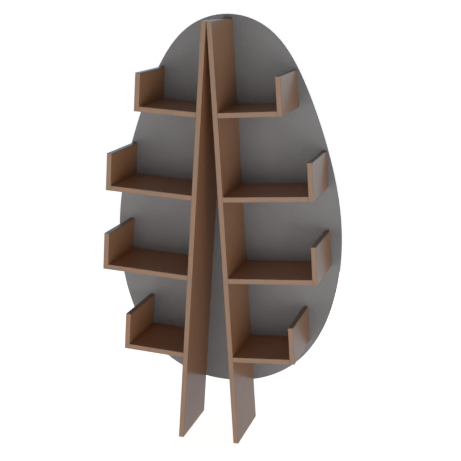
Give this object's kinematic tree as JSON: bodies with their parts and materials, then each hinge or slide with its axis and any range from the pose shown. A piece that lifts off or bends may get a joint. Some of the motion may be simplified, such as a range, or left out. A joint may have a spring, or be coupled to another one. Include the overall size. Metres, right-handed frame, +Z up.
{
  "type": "tree shaped bookcase",
  "caption": "Free-standing tree shaped bookcase: a split leaning trunk carries shelves with upturned ends on both sides, in front of an egg shaped back panel.",
  "frame": {"origin": "on the floor, under the middle of the bounding box", "axes": "+Z up, front faces -Y, +X to the right of someone who faces the front; X = 0 is the plane of symmetry"},
  "size_m": [0.848, 0.2634, 1.5001],
  "materials": {
    "board": "brown woodgrain melamine-faced chipboard, satin, with matching edging",
    "panel": "mid grey satin lacquered fibreboard",
    "biscuit": "pressed beech, bare",
    "screw": "bright zinc plate"
  },
  "bodies": {
    "root": {"left_trunk_board": "board", "left_shelf_1": "board", "left_shelf_end_1": "board", "left_shelf_2": "board", "left_shelf_end_2": "board", "left_shelf_3": "board", "left_shelf_end_3": "board", "left_shelf_4": "board", "left_shelf_end_4": "board", "right_trunk_board": "board", "right_shelf_1": "board", "right_shelf_end_1": "board", "right_shelf_2": "board", "right_shelf_end_2": "board", "right_shelf_3": "board", "right_shelf_end_3": "board", "right_shelf_4": "board", "right_shelf_end_4": "board", "left_trunk_biscuit_1_front": "biscuit", "left_trunk_biscuit_1_rear": "biscuit", "left_end_biscuit_1": "biscuit", "left_shelf_screw_1": "screw", "left_trunk_screw_1": "screw", "left_trunk_biscuit_2_front": "biscuit", "left_trunk_biscuit_2_rear": "biscuit", "left_end_biscuit_2": "biscuit", "left_shelf_screw_2": "screw", "left_trunk_screw_2": "screw", "left_trunk_biscuit_3_front": "biscuit", "left_trunk_biscuit_3_rear": "biscuit", "left_end_biscuit_3": "biscuit", "left_shelf_screw_3": "screw", "left_trunk_screw_3": "screw", "left_trunk_biscuit_4_front": "biscuit", "left_trunk_biscuit_4_rear": "biscuit", "left_end_biscuit_4": "biscuit", "left_shelf_screw_4": "screw", "left_trunk_screw_4": "screw", "right_trunk_biscuit_1_front": "biscuit", "right_trunk_biscuit_1_rear": "biscuit", "right_end_biscuit_1": "biscuit", "right_shelf_screw_1": "screw", "right_trunk_screw_1": "screw", "right_trunk_biscuit_2_front": "biscuit", "right_trunk_biscuit_2_rear": "biscuit", "right_end_biscuit_2": "biscuit", "right_shelf_screw_2": "screw", "right_trunk_screw_2": "screw", "right_trunk_biscuit_3_front": "biscuit", "right_trunk_biscuit_3_rear": "biscuit", "right_end_biscuit_3": "biscuit", "right_shelf_screw_3": "screw", "right_trunk_screw_3": "screw", "right_trunk_biscuit_4_front": "biscuit", "right_trunk_biscuit_4_rear": "biscuit", "right_end_biscuit_4": "biscuit", "right_shelf_screw_4": "screw", "right_trunk_screw_4": "screw", "back_panel": "panel"}
  },
  "joints": []
}
